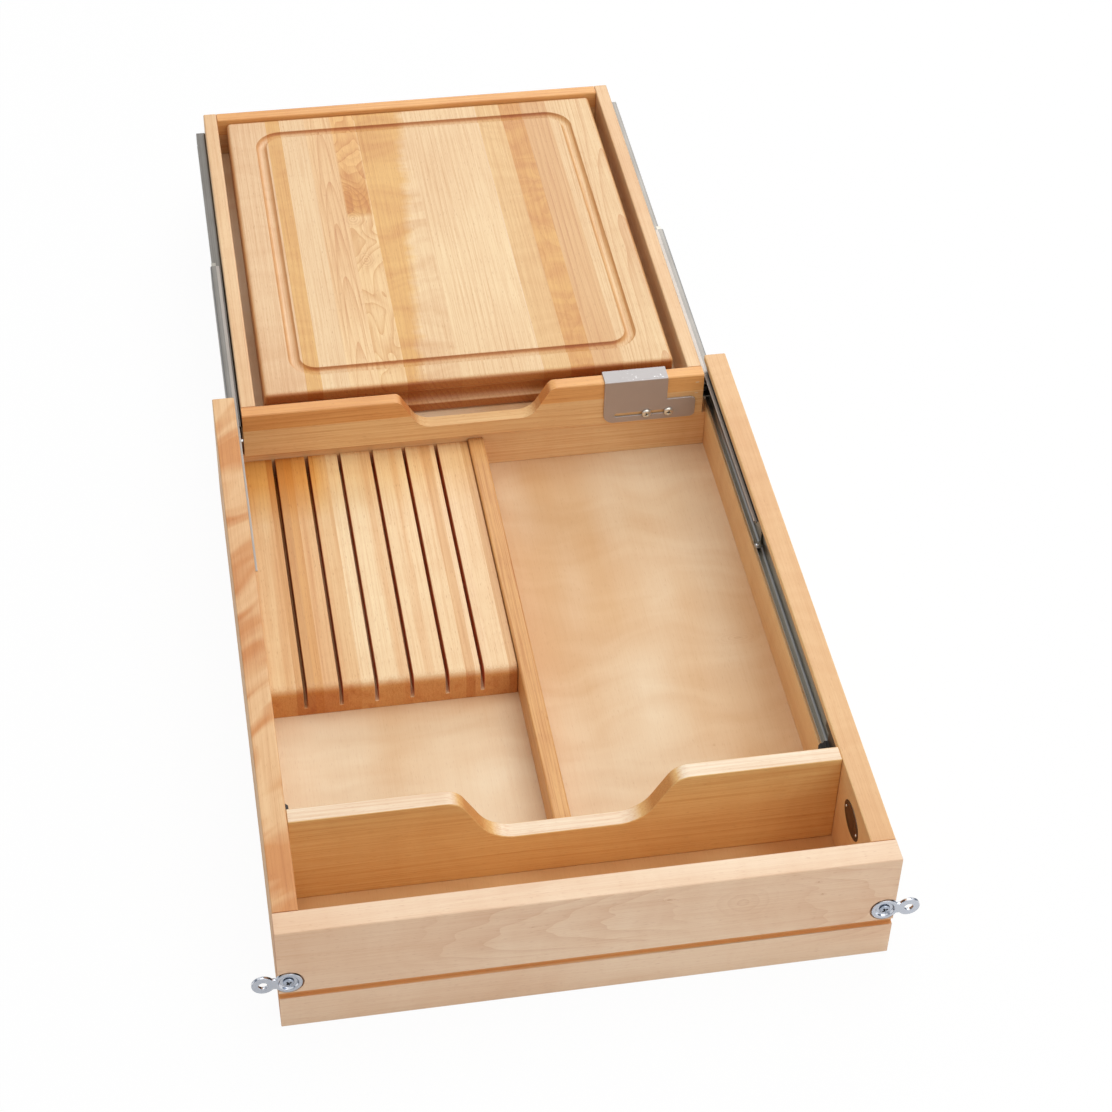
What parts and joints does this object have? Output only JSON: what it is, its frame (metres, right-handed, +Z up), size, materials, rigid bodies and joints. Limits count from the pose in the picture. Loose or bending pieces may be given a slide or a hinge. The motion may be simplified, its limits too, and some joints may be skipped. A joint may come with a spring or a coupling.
{
  "type": "drawer insert",
  "caption": "Two-tier kitchen drawer insert in maple, with a knife block and compartments below and a lift-out cutting board in a rolling upper tray.",
  "frame": {"origin": "bottom centre of the whole object with the tray drawn back", "axes": "+Z up, +Y from the drawer front back along the travel of the tray, +X to the right seen from the front"},
  "size_m": [0.4816, 1.0156, 0.1034],
  "materials": {
    "drawer_maple": "clear satin lacquer on solid maple",
    "birch_ply": "sanded and lacquered plywood face",
    "block_maple": "clear satin lacquer on laminated maple",
    "board_maple": "oiled edge-glued maple staves",
    "tray_maple": "clear satin lacquer on solid maple",
    "black_plastic": "moulded black plastic",
    "grey_paint": "smooth grey powder coat",
    "bright_screw": "bright zinc-plated steel",
    "zinc_casting": "zinc-plated pressed steel",
    "ball_steel": "polished steel balls",
    "slide_zinc": "zinc-plated rolled steel"
  },
  "bodies": {
    "drawer": {"cross_divider": "drawer_maple", "drawer_floor": "birch_ply", "drawer_side_left": "drawer_maple", "drawer_side_right": "drawer_maple", "figure_eight_screws": "bright_screw", "front_board": "drawer_maple", "knife_block": "block_maple", "long_divider": "drawer_maple", "outer_rail_left": "slide_zinc", "outer_rail_right": "slide_zinc", "outer_rail_screws": "bright_screw", "rail_stop_left": "black_plastic", "rail_stop_right": "black_plastic", "rear_wall": "drawer_maple"},
    "tray": {"inner_rail_left": "slide_zinc", "inner_rail_right": "slide_zinc", "inner_rail_screws": "bright_screw", "latch_screws": "bright_screw", "lever_rivets": "bright_screw", "tray_floor": "birch_ply", "tray_front_wall": "tray_maple", "tray_rear_wall": "tray_maple", "tray_side_left": "tray_maple", "tray_side_right": "tray_maple"},
    "middle_rails": {"middle_rail_left": "slide_zinc", "middle_rail_right": "slide_zinc"},
    "outer_cages": {"outer_balls_left": "ball_steel", "outer_balls_right": "ball_steel", "outer_cage_left": "slide_zinc", "outer_cage_right": "slide_zinc"},
    "inner_cages": {"inner_balls_left": "ball_steel", "inner_balls_right": "ball_steel", "inner_cage_left": "slide_zinc", "inner_cage_right": "slide_zinc"},
    "board": {"cutting_board": "board_maple"},
    "latch": {"latch_plate": "grey_paint"},
    "lever_left": {"release_lever_left": "black_plastic"},
    "lever_right": {"release_lever_right": "black_plastic"},
    "fastener_left": {"figure_eight_left": "zinc_casting"},
    "fastener_right": {"figure_eight_right": "zinc_casting"}
  },
  "joints": [
    {"name": "tray_slide", "type": "slide", "parent": "drawer", "child": "tray", "axis": [0, -1, 0], "range_m": [0, 0.4365]},
    {"name": "middle_rails_slide", "type": "slide", "parent": "drawer", "child": "middle_rails", "axis": [0, -1, 0], "range_m": [0, 0.21825]},
    {"name": "outer_cages_slide", "type": "slide", "parent": "drawer", "child": "outer_cages", "axis": [0, -1, 0], "range_m": [0, 0.10912]},
    {"name": "inner_cages_slide", "type": "slide", "parent": "drawer", "child": "inner_cages", "axis": [0, -1, 0], "range_m": [0, 0.32738]},
    {"name": "board_lift", "type": "slide", "parent": "tray", "child": "board", "axis": [0, 0, 1], "range_m": [0, 0.06]},
    {"name": "latch_slide", "type": "slide", "parent": "tray", "child": "latch", "axis": [1, 0, 0], "range_m": [0, 0.0108]},
    {"name": "lever_left_pivot", "type": "hinge", "parent": "tray", "child": "lever_left", "pos_m": [-0.20125, 0.0765, 0.07865], "axis": [1, 0, 0], "range_deg": [-7, 0], "stiffness_Nm_per_rad": 0.01},
    {"name": "lever_right_pivot", "type": "hinge", "parent": "tray", "child": "lever_right", "pos_m": [0.20125, 0.0765, 0.07865], "axis": [1, 0, 0], "range_deg": [0, 7], "stiffness_Nm_per_rad": 0.01},
    {"name": "fastener_left_pivot", "type": "hinge", "parent": "drawer", "child": "fastener_left", "pos_m": [-0.2148, -0.5061, 0.0493], "axis": [0, 1, 0], "range_deg": [-18, 18]},
    {"name": "fastener_right_pivot", "type": "hinge", "parent": "drawer", "child": "fastener_right", "pos_m": [0.2148, -0.5061, 0.0493], "axis": [0, 1, 0], "range_deg": [-18, 18]}
  ],
  "couplings": [
    {"joint": "middle_rails_slide", "follows": "tray_slide", "ratio": 0.5},
    {"joint": "outer_cages_slide", "follows": "tray_slide", "ratio": 0.25},
    {"joint": "inner_cages_slide", "follows": "tray_slide", "ratio": 0.75}
  ]
}
